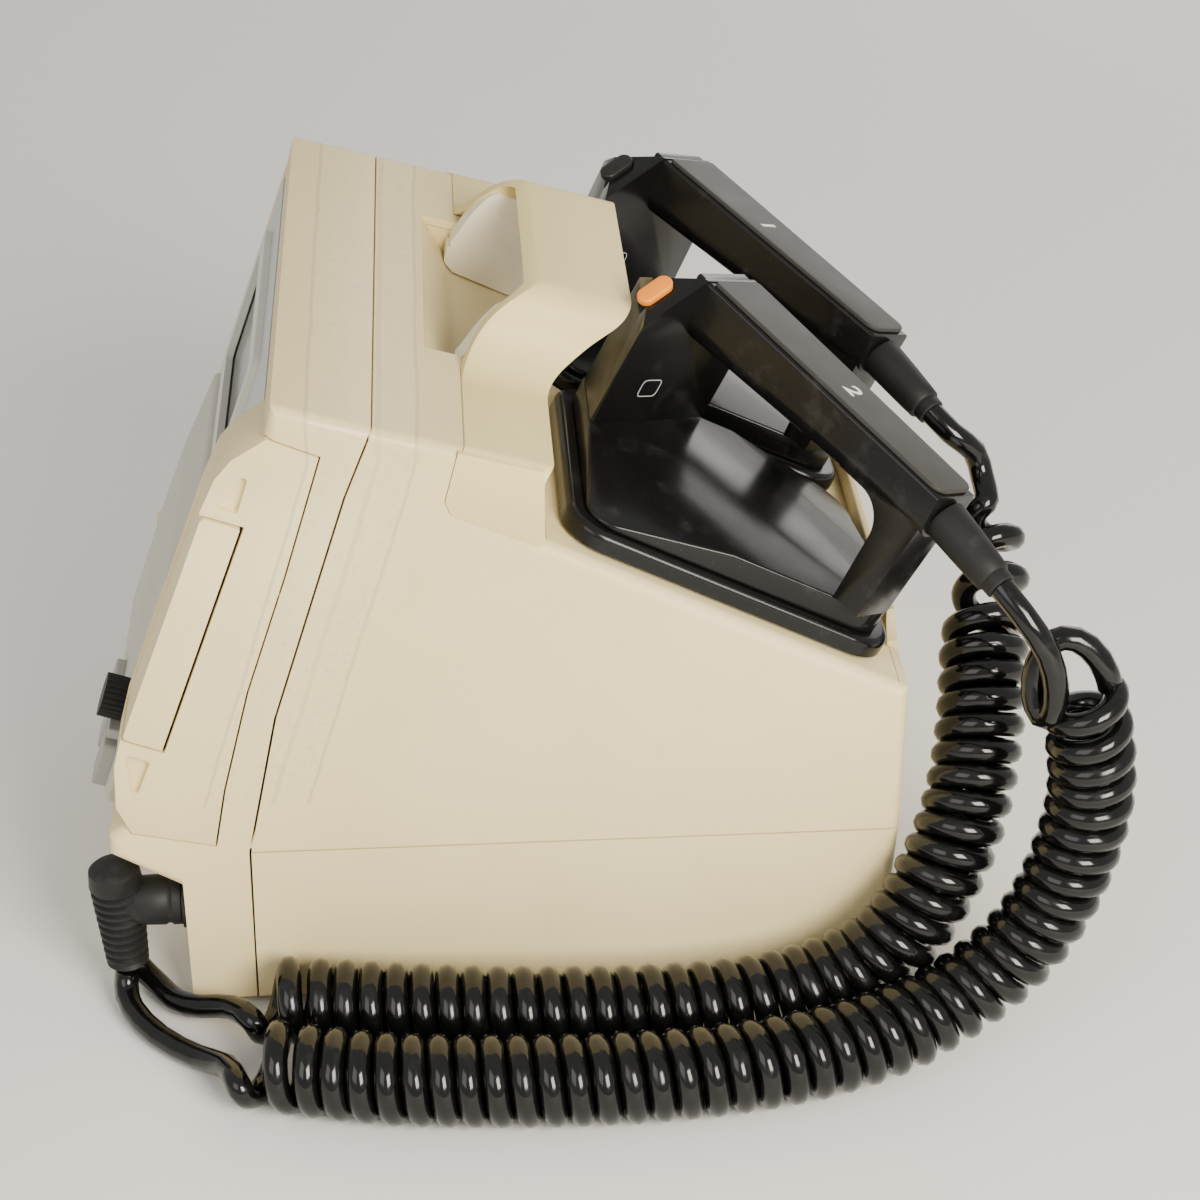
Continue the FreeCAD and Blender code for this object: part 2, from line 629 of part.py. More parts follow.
bezel_outer = rounded_slab(window_wide + 14, window_tall + 12, 0.05, 3.0, 5)
bezel_inner = rounded_slab(window_wide - 4, window_tall - 4, -1.0, 4.0, 4)
feature("display_bezel", bezel_outer.cut(bezel_inner), fascia_frame(-28.0, window_up + 0.5, 0.0))
block("display_window", "%f" % (window_wide - 1), "%f" % (window_tall - 1), "2",
      fascia_frame(-28.0, window_up + 0.5, -2.5), corner=3)

tube = Part.makeLoft([rounded_wire([Vector(sx * 50, sy * 24, -0.5) for sx, sy in
                                    ((-1, -1), (1, -1), (1, 1), (-1, 1))], 5),
                      rounded_wire([Vector(sx * 14, sy * 14, -70) for sx, sy in
                                    ((-1, -1), (1, -1), (1, 1), (-1, 1))], 5)], True, True)
tube = tube.fuse(Part.makeCylinder(11, 28, Vector(0, 0, -97.5)))
feature("display_tube", tube, fascia_frame(-28.0, window_up + 0.5, -4.0))

# bulged control panel below the display: its side profile crossed with its plan profile
proud = size("panel_proud")
panel_low_x, panel_high_x = -half_width + 24, module_x - 6.0
panel_skin = 3.0


def panel_body(inset):
    """The bulge, or what is left of it when every outer face moves in by inset."""
    back = 0.1 - abs(inset)
    profile = [(back, 0.3 + inset), (back, panel_tall - inset),
               (3.0 - inset * 0.6, panel_tall - inset), (proud * 0.85 - inset, panel_tall - 16 - inset),
               (proud - inset, 52.0), (proud - inset, 15.0), (proud - 1.5 - inset, -9.0 + inset * 1.6)]
    points = [fascia_low + fascia_up * up + fascia_out * out for out, up in profile]
    low_x, high_x = panel_low_x + inset, panel_high_x - inset
    turns = [0, 0, 2, 24, 60, 60, 4] if inset == 0 else 0
    side_view = Part.Face(rounded_wire([Vector(low_x, p.y, p.z) for p in points], turns))
    solid = side_view.extrude(Vector(high_x - low_x, 0, 0))
    plan = [Vector(low_x, 0, -20), Vector(low_x, 0, 3.0 - inset * 0.5), Vector(-50, 0, proud - inset),
            Vector(70, 0, proud - inset), Vector(high_x, 0, proud - 2.0 - inset), Vector(high_x, 0, -20)]
    plan_face = Part.Face(rounded_wire(plan, [0, 3, 90, 60, 3, 0] if inset == 0 else 0))
    slab = plan_face.extrude(Vector(0, panel_tall + 80, 0))
    slab.Placement = fascia_frame(0, -40.0)
    return solid.common(slab)


panel = panel_body(0).cut(panel_body(panel_skin))

knob_up = 36.0
shaft_radius = 3.0
knob_place = fascia_frame(size("knob_across"), knob_up, proud + 0.6)
shaft_room = Part.makeCylinder(shaft_radius + fit, 6, Vector(0, 0, -5))
shaft_room.Placement = knob_place
panel = panel.cut(shaft_room)

key_row = 7.0
key_places = {"charge_key": fascia_frame(size("knob_across"), key_row, proud),
              "select_key": fascia_frame(size("knob_across") - 26.0, key_row, proud),
              "mode_key": fascia_frame(size("knob_across") - 52.0, key_row, proud)}
small_place = fascia_frame(size("knob_across"), key_row + 15.2, proud)
small_wide, small_tall = 13.0, 4.6
for place, wide, tall in [(p, size("key_wide"), size("key_tall")) for p in key_places.values()] + [
        (small_place, small_wide, small_tall)]:
    room = rounded_slab(wide + 1.2, tall + 1.2, -7.0, 6, 1.4)
    room.Placement = place
    panel = panel.cut(room)
feature("control_panel", panel)
feature("front_case", front_case.cut(panel_body(-fit)))


def knurled_knob(label, place):
    body = doc.addObject("PartDesign::Body", label)
    last = pad(body, centred_circle(body, "Outline", ref("knob_radius")), ref("knob_high"))
    doc.recompute()
    groove = body.newObject("Sketcher::SketchObject", "Groove")
    groove.AttachmentSupport = [(origin_plane(body, "XY_Plane"), "")]
    groove.MapMode = "FlatFace"
    groove.addGeometry(Part.Circle(Vector(size("knob_radius") + 0.3, 0, 0), Vector(0, 0, 1), 1.1), False)
    cut = body.newObject("PartDesign::Pocket", "Flute")
    cut.Profile = groove
    cut.Type = 1
    cut.Reversed = True
    doc.recompute()
    before = last.Shape.Volume
    if cut.Shape.Volume > before - 1.0:
        cut.Reversed = False
        doc.recompute()
    ring = body.newObject("PartDesign::PolarPattern", "Flutes")
    ring.Originals = [cut]
    ring.Axis = (origin_axis(body, "Z_Axis"), [""])
    ring.Occurrences = 24
    body.Tip = ring
    doc.recompute()
    return keep(body, label, place)


def origin_axis(body, role):
    for item in body.Origin.OriginFeatures:
        if item.Role == role:
            return item
    raise ValueError(role)


knurled_knob("energy_knob", knob_place)
encoder_face = 7.0
shaft_long = proud + 0.6 - encoder_face - 0.1
feature("knob_shaft", Part.makeCylinder(shaft_radius, shaft_long, Vector(0, 0, -shaft_long)), knob_place)
drum("knob_encoder", "8.5", "5", fascia_frame(size("knob_across"), knob_up, encoder_face - 5.0))
key_back = Placement(Vector(0, 0, size("key_proud") - size("key_high")), Rotation())
for name, place in key_places.items():
    block(name, ref("key_wide"), ref("key_tall"), ref("key_high"), place.multiply(key_back),
          corner=2.0, top=1.0)
block("sync_key", "%f" % small_wide, "%f" % small_tall, ref("key_high"), small_place.multiply(key_back),
      corner=1.0, top=0.6)
block("key_board", "80", "22", ref("board_thick"),
      fascia_frame(size("knob_across") - 30.0, key_row + 5.0, 0.9), corner=2)

feature("ecg_socket", Part.makeCylinder(9, 6, Vector(0, 0, 0)).cut(Part.makeCylinder(6, 5, Vector(0, 0, 2))),
        fascia_frame(module_x - 22.0, fascia_tall - 46.0, 0.1))

# ---- inside the case -------------------------------------------------------------------
floor_in = base_level + wall
block("chassis_plate", ref("case_width") + " - 30", "200", "2",
      Placement(Vector(0, 40, floor_in + 6.0), Rotation()), corner=3)
for side, name in ((-1, "battery_left"), (1, "battery_right")):
    block(name, "70", "110", "45", Placement(Vector(side * 70, 85, floor_in + 8.5), Rotation()), corner=3)
block("power_supply", "90", "60", "40", Placement(Vector(0, -20, floor_in + 8.5), Rotation()), corner=2)
block("main_board", "180", "150", ref("board_thick"), Placement(Vector(0, 60, seam + 8), Rotation()))
drum("energy_capacitor", ref("capacitor_radius"), ref("capacitor_long"),
     Placement(Vector(-size("capacitor_long") / 2, 62, seam + 12 + size("capacitor_radius")),
               Rotation(Vector(0, 1, 0), 90)), top=2)
block("hv_transformer", "48", "42", "36", Placement(Vector(92, 40, seam + 10.2), Rotation()), corner=2)
block("display_board", "120", "90", ref("board_thick"), Placement(Vector(-28, -40, seam + 20), Rotation()))
speaker_place = Placement(Vector(-half_width + wall + 0.5, 60, 44), Rotation(Vector(0, 1, 0), 90))
drum("speaker", "26", "12", speaker_place, top=1)

# ---- feet and screws -------------------------------------------------------------------
feet = [Part.makeCone(size("foot_radius") - 1.5, size("foot_radius"), base_level - 0.05, Vector(x, y, 0))
        for x in (-half_width + 22, half_width - 22) for y in (front + 48, rear - 26)]
feature("rubber_feet", Part.makeCompound(feet))
screws = []
screw_level = seam + 16
for x in (-half_width + 30, 0, half_width - 30):
    screws.append(bar_between(Vector(x, rear + 0.02, screw_level), Vector(x, rear + 1.4, screw_level),
                              size("screw_radius")))
feature("case_screws", Part.makeCompound(screws))

# ---- paddles -----------------------------------------------------------------------------
turn = size("paddle_turn")
shield_a = -47.0


def turned(shape):
    shape.Placement = Placement(Vector(), Rotation(Vector(0, 0, 1), turn)).multiply(shape.Placement)
    return shape


def across_prism(outline, a_low, a_high, radius=0.0):
    """Outline in the plane across the grip (b, up), extruded along the grip."""
    wire = rounded_wire([Vector(a_low, b, up) for b, up in outline], radius)
    return Part.Face(wire).extrude(Vector(a_high - a_low, 0, 0))


flange_low = size("electrode_thick") + 0.8
flange_top = flange_low + size("flange_thick")
base_wide = size("flange_wide") - 9.0
base_long = size("flange_long") - 13.0
grip_top = size("grip_high")
grip_half_front = size("grip_wide") / 2
grip_end = 84.0


def paddle_base():
    slab = rounded_slab(base_wide, base_long, flange_top + 0.1, size("base_high"), 13)
    roof = turned(across_prism([(-95, 0), (-95, size("base_high") - 11.5), (-42, size("base_high")),
                                (42, size("base_high")), (95, size("base_high") - 11.5), (95, 0)], -120, 120))
    return slab.common(roof)


def shield_outline(inset):
    low = size("base_high") + 0.1
    shoulder = size("shield_high")
    return [(-41 + inset, low), (-43 + inset, shoulder - inset),
            (-grip_half_front - 2 + inset, grip_top - 4 - inset),
            (-grip_half_front + 3 + inset, grip_top - inset), (grip_half_front - 3 - inset, grip_top - inset),
            (grip_half_front + 2 - inset, grip_top - 4 - inset),
            (43 - inset, shoulder - inset), (41 - inset, low)]


def paddle_frame():
    """Finger shield in the front outer corner, grip bar and rear strut in one moulding."""
    radii = [0, 4, 10, 3, 3, 10, 4, 0]
    shield = turned(across_prism(shield_outline(0), -110, shield_a, radii))
    footprint = rounded_slab(base_wide - 1, base_long - 1, size("base_high") + 0.1, grip_top + 5, 12)
    shield = shield.common(footprint)
    slope = [(-110, grip_top - 40.0 - 2.0), (shield_a - 2, grip_top - 2.0), (shield_a + 40, grip_top),
             (shield_a + 40, -5), (-110, -5)]
    cutter = Part.Face(rounded_wire([Vector(a, -80, up) for a, up in slope], 0)).extrude(Vector(0, 160, 0))
    shield = shield.common(turned(cutter))

    def section(a, half, top, thick, corner):
        points = [Vector(a, -half, top), Vector(a, half, top),
                  Vector(a, half - 2, top - thick), Vector(a, -half + 2, top - thick)]
        return rounded_wire(points, [1.5, 1.5, corner, corner])

    bar = Part.makeLoft([section(shield_a - 6, grip_half_front - 1, grip_top - 2.2, size("grip_thick") + 4, 9),
                         section(grip_end, 13.0, grip_top - 8.8, size("grip_thick") - 3, 8)], True, True)
    bar = turned(bar)
    strut_side = [(67, size("base_high") + 0.1), (80, size("base_high") + 0.1), (83, grip_top - 15),
                  (40, grip_top - 15), (40, grip_top - 26.5), (66, grip_top - 27.5)]
    strut_wire = rounded_wire([Vector(a, -10.5, up) for a, up in strut_side], [0, 0, 0, 0, 0, 14])
    strut = Part.Face(strut_wire).extrude(Vector(0, 21, 0))
    body = shield.fuse(bar).fuse(turned(strut))
    return body.removeSplitter()


def grip_plate():
    points = [Vector(shield_a + 1.5, -grip_half_front + 2.5, 0), Vector(grip_end - 1, -12.2, 0),
              Vector(grip_end - 1, 12.2, 0), Vector(shield_a + 1.5, grip_half_front - 2.5, 0)]
    face = Part.Face(rounded_wire(points, [2, 6, 6, 2]))
    plate_solid = face.extrude(Vector(0, 0, 1.8))
    lean = math.degrees(math.atan2(6.6, grip_end - shield_a + 6))
    plate_solid.Placement = Placement(Vector(0, 0, 0), Rotation(Vector(0, 1, 0), lean))
    top_at_zero = grip_top - 2.2 - 6.6 * (6 - shield_a) / (grip_end - shield_a + 6)
    plate_solid.translate(Vector(0, 0, top_at_zero + 0.08))
    return turned(plate_solid)


def shock_button():
    """Long button on the near shoulder, its travel square to the shoulder."""
    rise = (grip_top - 4) - size("shield_high")
    run = 43 - (grip_half_front + 2)
    tilt = math.degrees(math.atan2(rise, run))
    middle = Vector(shield_a - 10.0, -31.0, size("shield_high") + rise * (43 - 31.0) / run)
    base = rounded_slab(size("button_wide"), size("button_long"), -1.0, 2.6, size("button_wide") / 2 - 0.1)
    place = Placement(middle, Rotation(Vector(1, 0, 0), tilt))
    return base, place


def relief_parts():
    start = Vector(grip_end + 0.2, 0, grip_top - 19.0)
    end = Vector(grip_end + size("relief_long") - 2, 0, grip_top - 25.0)
    axis = (end - start).normalize()
    stem = Part.makeCone(size("relief_radius") + 0.8, size("relief_radius") - 0.6,
                         (end - start).Length - 5, start, axis)
    tip = Part.makeCylinder(size("cord_radius") + 0.9, 5.0, start + axis * ((end - start).Length - 5), axis)
    neck = turned(stem.fuse(tip))
    return neck, end, axis


button_solid, button_place = shock_button()
button_room = rounded_slab(size("button_wide") + 0.8, size("button_long") + 0.8, -6.0, 8.0,
                           size("button_wide") / 2 + 0.2)
button_room.Placement = button_place
frame_solid = paddle_frame().cut(turned(button_room))
neck_solid, neck_end, neck_axis = relief_parts()
frame_solid = frame_solid.cut(neck_solid)
turn_place = Placement(Vector(), Rotation(Vector(0, 0, 1), turn))
paddle_places = paddle_seats
for name, seat in paddle_places.items():
    feature(name + "_base", paddle_base(), seat)
    feature(name + "_frame", frame_solid.copy(), seat)
    flange = rounded_slab(size("flange_wide"), size("flange_long"), flange_low, flange_top, 17)
    rims = [e for e in flange.Edges if e.BoundBox.ZMin > flange_top - 1e-6]
    feature(name + "_flange", flange.makeFillet(3.0, rims), seat)
    feature(name + "_grip_plate", grip_plate(), seat)
    block(name + "_electrode", "100", "118", ref("electrode_thick"),
          seat.multiply(Placement(Vector(0, 0, 0.6), Rotation())), corner=12)
    feature(name + "_shock_button", button_solid.copy(), seat.multiply(turn_place).multiply(button_place))
    feature(name + "_relief", neck_solid.copy(), seat)

# ---- cords -------------------------------------------------------------------------------
plug_x = 122.0
plug_z = recess_top - 13.0
socket_face = recess_y - 1.5
plug = bar_between(Vector(plug_x, socket_face - 0.1, plug_z), Vector(plug_x, recess_y - 26, plug_z), 10.5)
boot_top, boot_low = Vector(plug_x, front - 0.5, seam - 12.0), Vector(plug_x, front + 1.5, 16.0)
boot = Part.makeCone(11.0, 9.4, boot_top.z - boot_low.z, boot_top, boot_low - boot_top)
feature("lead_plug", plug.fuse(boot).removeSplitter())
feature("paddle_socket", bar_between(Vector(plug_x, recess_y, plug_z),
                                     Vector(plug_x, socket_face, plug_z), 11.8))


def world(name, point):
    return paddle_places[name].multVec(turn_place.multVec(point))


route = {
    "apex_lead": [Vector(plug_x + 5.2, boot_low.y, boot_low.z), Vector(128, -157, 9), Vector(140, -154, 5.6),
                  Vector(158, -142, 5.6), Vector(173, -124, 6.0), Vector(184, -112, 12),
                  Vector(191, -103, 18.5)],
    "sternum_lead": [Vector(plug_x - 5.2, boot_low.y, boot_low.z), Vector(117, -152, 9), Vector(125, -144, 5.8),
                     Vector(138, -136, 6.5), Vector(146, -124, 10), Vector(150, -112, 14),
                     Vector(153, -100, 18.6)],
    "apex_coil": [Vector(191, -103, 18.6), Vector(203, -62, 18.6), Vector(208, -14, 18.6),
                  Vector(210, 36, 18.6),
                  Vector(207, 86, 18.6), Vector(196, 134, 18.6), Vector(180, 176, 26), Vector(170, 208, 52),
                  Vector(163, 223, 90), Vector(160, 226, 124), Vector(159, 218, 155)],
    "sternum_coil": [Vector(153, -100, 18.6), Vector(160, -58, 18.6), Vector(166, -12, 18.6),
                     Vector(169, 38, 18.6),
                     Vector(168, 86, 18.6), Vector(162, 126, 22), Vector(157, 157, 40), Vector(141, 180, 78),
                     Vector(118, 190, 110), Vector(90, 194, 140), Vector(64, 203, 153),
                     Vector(38, 205, 168)],
}
apex_exit = world("apex", neck_end)
apex_way = world("apex", neck_end + neck_axis * 14)
stern_exit = world("sternum", neck_end)
stern_way = world("sternum", neck_end + neck_axis * 14)
route["apex_tail"] = [apex_exit, apex_way, Vector(168, 205, 186), Vector(167, 214, 171), Vector(159, 218, 155)]
route["sternum_tail"] = [stern_exit, stern_way, Vector(37, 203, 194), Vector(40, 210, 182),
                         Vector(38, 205, 168)]
print("exits", apex_exit, stern_exit)

for name, points in route.items():
    radius = size("coil_radius") if name.endswith("coil") else size("cord_radius")
    feature(name, cord_tube(points, radius))

# ---- write --------------------------------------------------------------------------------
doc.recompute()
faults = []
for obj in doc.Objects:
    if any(word in obj.State for word in ("Invalid", "Error")):
        faults.append((obj.Label, obj.State))
for obj in parts:
    if obj.Shape.isNull() or not obj.Shape.isValid():
        faults.append((obj.Label, "bad shape"))
if faults:
    raise RuntimeError(str(faults))
os.makedirs("parts", exist_ok=True)
for obj in parts:
    obj.Shape.exportStep("parts/%s.step" % obj.Label)
print(len(parts), "parts")
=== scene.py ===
import json
import math
import bmesh
import bpy
from mathutils import Matrix, Vector


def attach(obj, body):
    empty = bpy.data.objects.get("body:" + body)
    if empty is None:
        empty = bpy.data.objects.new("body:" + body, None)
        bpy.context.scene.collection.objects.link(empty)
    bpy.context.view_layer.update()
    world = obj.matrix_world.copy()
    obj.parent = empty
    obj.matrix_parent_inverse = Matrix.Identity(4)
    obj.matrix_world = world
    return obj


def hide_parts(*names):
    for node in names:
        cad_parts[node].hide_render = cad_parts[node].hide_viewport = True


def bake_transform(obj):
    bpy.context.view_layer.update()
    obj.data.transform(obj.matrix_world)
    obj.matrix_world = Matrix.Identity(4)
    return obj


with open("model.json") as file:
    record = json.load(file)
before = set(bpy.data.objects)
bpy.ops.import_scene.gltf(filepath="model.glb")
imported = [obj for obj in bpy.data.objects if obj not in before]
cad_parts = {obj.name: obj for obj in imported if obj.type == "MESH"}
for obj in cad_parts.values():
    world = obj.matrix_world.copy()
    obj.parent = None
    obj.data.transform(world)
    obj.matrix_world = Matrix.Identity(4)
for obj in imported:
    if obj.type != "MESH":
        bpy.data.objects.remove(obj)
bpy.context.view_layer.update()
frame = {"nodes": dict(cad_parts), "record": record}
mm = 0.001


# shader maths: a socket that takes + - * and comparisons

class Sock:
    def __init__(self, tree, out):
        self.tree, self.out = tree, out

    def maths(self, operation, *values):
        made = self.tree.nodes.new("ShaderNodeMath")
        made.operation = operation
        for slotHere, value in zip(made.inputs, values):
            feed(self.tree, slotHere, value)
        return Sock(self.tree, made.outputs[0])

    def __add__(self, other):
        return self.maths("ADD", self, other)

    def __radd__(self, other):
        return self.maths("ADD", other, self)

    def __sub__(self, other):
        return self.maths("SUBTRACT", self, other)

    def __rsub__(self, other):
        return self.maths("SUBTRACT", other, self)

    def __mul__(self, other):
        return self.maths("MULTIPLY", self, other)

    def __rmul__(self, other):
        return self.maths("MULTIPLY", other, self)

    def __gt__(self, other):
        return self.maths("GREATER_THAN", self, other)

    def __lt__(self, other):
        return self.maths("LESS_THAN", self, other)

    def __abs__(self):
        return self.maths("ABSOLUTE", self)

    def between(self, low, high):
        made = self.tree.nodes.new("ShaderNodeMapRange")
        made.interpolation_type = "SMOOTHSTEP"
        feed(self.tree, made.inputs["Value"], self)
        made.inputs["From Min"].default_value = low
        made.inputs["From Max"].default_value = high
        return Sock(self.tree, made.outputs[0])


def feed(tree, slotHere, value):
    if isinstance(value, Sock):
        tree.links.new(value.out, slotHere)
    elif isinstance(value, (tuple, list)) and len(value) == 3 and slotHere.type == "RGBA":
        slotHere.default_value = (*value, 1)
    else:
        slotHere.default_value = value


class Finish:
    def __init__(self, name):
        self.material = bpy.data.materials.new(name)
        self.material.use_nodes = True
        self.tree = self.material.node_tree
        self.shader = self.tree.nodes["Principled BSDF"]
        self.place = self.node("ShaderNodeTexCoord", out="Object")

    def node(self, kind, settings=None, inputs=None, out=0):
        made = self.tree.nodes.new(kind)
        for key, value in (settings or {}).items():
            setattr(made, key, value)
        for key, value in (inputs or {}).items():
            feed(self.tree, made.inputs[key], value)
        return Sock(self.tree, made.outputs[out])

    def noise(self, scale, detail=4.0, rough=0.55):
        wanted = {"Vector": self.place, "Scale": scale, "Detail": detail, "Roughness": rough}
        return self.node("ShaderNodeTexNoise", None, wanted)

    def mix(self, share, first, second):
        made = self.tree.nodes.new("ShaderNodeMix")
        made.data_type = "RGBA"
        feed(self.tree, made.inputs["Factor"], share)
        feed(self.tree, made.inputs[6], first)
        feed(self.tree, made.inputs[7], second)
        return Sock(self.tree, made.outputs[2])

    def bump(self, height, depth, strength=1.0):
        return self.node("ShaderNodeBump", None, {"Height": height, "Distance": depth, "Strength": strength})

    def set(self, **values):
        for key, value in values.items():
            feed(self.tree, self.shader.inputs[key.replace("_", " ")], value)
        return self.material


# finishes

# the joint between front and rear case leans back as it rises, then stands upright
jointLine = {"lean": 0.318, "start": -126.2, "upright": 250.0}
tape = {"front": -21.5, "rear": 18.5, "low": 100.0, "ripple": 3.0, "edgeAt": 20.0, "edgeWide": 0.7,
        "middleAt": 4.5, "middleWide": 1.0}
# painted shade: the top of the case is made darker and warmer from 215 mm up, standing in for less light
# falling on it from above
paintedTopShade = {"from": 215.0, "full": 262.0, "share": 0.55, "colour": (0.66, 0.53, 0.26)}


def casePlastic(name, light, dark, grain=1500, depth=0.00005, taped=False):
    f = Finish(name)
    cloud = f.noise(6.0, 3.0)
    blotch = f.noise(38.0, 5.0, 0.6)
    colour = f.mix(cloud.between(0.35, 0.68), light, dark)
    colour = f.mix(blotch.between(0.60, 0.78) * 0.3, colour, tuple(c * 0.86 for c in dark))
    fine = f.noise(grain, 2.0)
    rough = 0.40 + fine * 0.10 + blotch * 0.10
    if taped:
        axes = f.tree.nodes.new("ShaderNodeSeparateXYZ")
        feed(f.tree, axes.inputs[0], f.place)
        across, up = Sock(f.tree, axes.outputs[1]), Sock(f.tree, axes.outputs[2])
        height = up.maths("MINIMUM", up, jointLine["upright"] * mm)
        joint = height * jointLine["lean"] + jointLine["start"] * mm
        off = across - joint
        ripple = f.noise(22.0, 4.0, 0.7) * (tape["ripple"] * mm)
        above = up > tape["low"] * mm
        band = (off + ripple > tape["front"] * mm) * (off + ripple < tape["rear"] * mm) * above
        streak = f.noise(260.0, 3.0, 0.7).between(0.52, 0.7)
        # painted shade: darker and warmer towards the top of the case, for the weaker light from above
        topShadeShare = up.between(paintedTopShade["from"] * mm, paintedTopShade["full"] * mm) * paintedTopShade["share"]
        colour = f.mix(topShadeShare, colour, paintedTopShade["colour"])
        edge = abs(abs(off + ripple + 0.0015) - tape["edgeAt"] * mm) < tape["edgeWide"] * mm
        middle = abs(off + ripple - tape["middleAt"] * mm) < tape["middleWide"] * mm
        colour = f.mix(band * 0.35, colour, tuple(c * 0.93 for c in light))
        colour = f.mix(band * streak * 0.22, colour, (0.42, 0.36, 0.25))
        colour = f.mix((edge + middle * 0.7) * above * 0.30, colour, (0.30, 0.25, 0.17))
        rough = rough - band * 0.2
    return f.set(Base_Color=colour, Roughness=rough, Normal=f.bump(fine, depth, 0.5),
                 Specular_IOR_Level=0.4)


def blackPlastic(name, tone, rough, scuffs=0.25, shine=0.3):
    f = Finish(name)
    wear = f.noise(55.0, 6.0, 0.62)
    dust = f.noise(420.0, 3.0, 0.6)
    tint = f.mix(wear.between(0.54, 0.75) * scuffs, tone, tuple(c + 0.06 for c in tone))
    return f.set(Base_Color=f.mix(dust.between(0.66, 0.74) * 0.12, tint, (0.10, 0.10, 0.09)),
                 Roughness=rough + wear * 0.18, Normal=f.bump(dust, 0.00003, 0.4), Specular_IOR_Level=shine)


def simple(name, colour, rough, metal=0.0, scale=60.0):
    f = Finish(name)
    cloud = f.noise(scale, 4.0)
    shade = 0.88 if scale > 1 else 0.97
    return f.set(Base_Color=f.mix(cloud.between(0.3, 0.7), colour, tuple(c * shade for c in colour)),
                 Roughness=rough + cloud * 0.1, Metallic=metal)


def cordRubber():
    f = Finish("cordRubber")
    smear = f.noise(140.0, 4.0)
    colour = f.mix(smear.between(0.5, 0.8) * 0.5, (0.003, 0.003, 0.003), (0.014, 0.014, 0.013))
    return f.set(Base_Color=colour,
                 Roughness=0.12 + smear.between(0.4, 0.8) * 0.16, Coat_Weight=0.15, Specular_IOR_Level=0.35)


cream = casePlastic("creamCase", (0.83, 0.70, 0.395), (0.77, 0.63, 0.33), taped=True)
finishes = {
    "cream_case": cream,
    "pale_liner": casePlastic("paleLiner", (0.86, 0.80, 0.62), (0.80, 0.73, 0.54)),
    "grey_panel": casePlastic("greyPanel", (0.58, 0.55, 0.46), (0.52, 0.49, 0.40)),
    "dark_fascia": casePlastic("paleFascia", (0.56, 0.56, 0.54), (0.50, 0.50, 0.48)),
    "display_glass": simple("displayGlass", (0.012, 0.02, 0.016), 0.06),
    "light_trim": casePlastic("lightTrim", (0.66, 0.64, 0.57), (0.60, 0.58, 0.50)),
    "black_knob": blackPlastic("blackKnob", (0.010, 0.010, 0.010), 0.4),
    "black_button": blackPlastic("blackButton", (0.014, 0.013, 0.012), 0.3),
    "grey_key": casePlastic("greyKey", (0.40, 0.39, 0.35), (0.36, 0.35, 0.31)),
    "black_paddle": blackPlastic("blackPaddle", (0.006, 0.006, 0.006), 0.13),
    "grip_grey": blackPlastic("gripGrey", (0.036, 0.034, 0.030), 0.42),
    "electrode_steel": simple("electrodeSteel", (0.62, 0.62, 0.60), 0.25, 1.0),
    "orange_button": simple("orangeButton", (0.90, 0.27, 0.015), 0.35),
    "black_rubber": blackPlastic("blackRubber", (0.010, 0.010, 0.010), 0.45),
    "cord_black": cordRubber(),
    "screw_steel": simple("screwSteel", (0.35, 0.35, 0.34), 0.35, 1.0),
    "inner_metal": simple("innerMetal", (0.6, 0.6, 0.61), 0.4, 1.0),
    "board_green": simple("boardGreen", (0.02, 0.14, 0.06), 0.4),
    "cell_grey": simple("cellGrey", (0.12, 0.12, 0.14), 0.5),
    "paper_white": simple("paperWhite", (0.82, 0.80, 0.74), 0.8),
}
tanHandle = casePlastic("tanHandle", (0.79, 0.635, 0.30), (0.73, 0.575, 0.25))
for entry in frame["record"]["subparts"]:
    piece = frame["nodes"][entry["node"]]
    for slotHere in piece.material_slots:
        slotHere.material = finishes[entry["material_slot"]]
print("finishes on", len(frame["nodes"]), "nodes")


# softened mouldings

bodyOf = {node: body for body, nodes in frame["record"]["behaviour"]["bodies"].items() for node in nodes}
slotOf = {entry["node"]: entry["material_slot"] for entry in frame["record"]["subparts"]}


def place(name, mesh, body, slotName, replaced=(), smooth=40, material=None):
    made = bpy.data.objects.new(name, mesh)
    bpy.context.collection.objects.link(made)
    mesh.materials.clear()
    mesh.materials.append(material or finishes[slotName])
    for face in mesh.polygons:
        face.use_smooth = True
        face.material_index = 0
    mesh.set_sharp_from_angle(angle=math.radians(smooth))
    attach(made, body)
    if replaced:
        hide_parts(*replaced)
    return made


def evaluated(thing):
    return bpy.data.meshes.new_from_object(thing.evaluated_get(bpy.context.evaluated_depsgraph_get()))


def softened(node, width, segments=3, angle=38):
    # the CAD node with its edges rounded
    mesh = frame["nodes"][node].data.copy()
    shape = bmesh.new()
    shape.from_mesh(mesh)
    bmesh.ops.remove_doubles(shape, verts=shape.verts, dist=0.00002)
    bmesh.ops.dissolve_limit(shape, angle_limit=math.radians(0.6), verts=shape.verts, edges=shape.edges)
    shape.to_mesh(mesh)
    shape.free()
    scratch = bpy.data.objects.new("scratch", mesh)
    bpy.context.collection.objects.link(scratch)
    rounding = scratch.modifiers.new("rounding", "BEVEL")
    rounding.width = width * mm
    rounding.segments = segments
    rounding.limit_method = "ANGLE"
    rounding.angle_limit = math.radians(angle)
    rounding.use_clamp_overlap = True
    rounding.harden_normals = False
    bpy.context.view_layer.update()
    rounded = evaluated(scratch)
    bpy.data.objects.remove(scratch)
    words = node.split("_")
    name = words[0] + "".join(word.title() for word in words[1:]) + "Soft"
    return place(name, rounded, bodyOf[node], slotOf[node], (node,),
                 material=tanHandle if node == "carry_handle" else None)


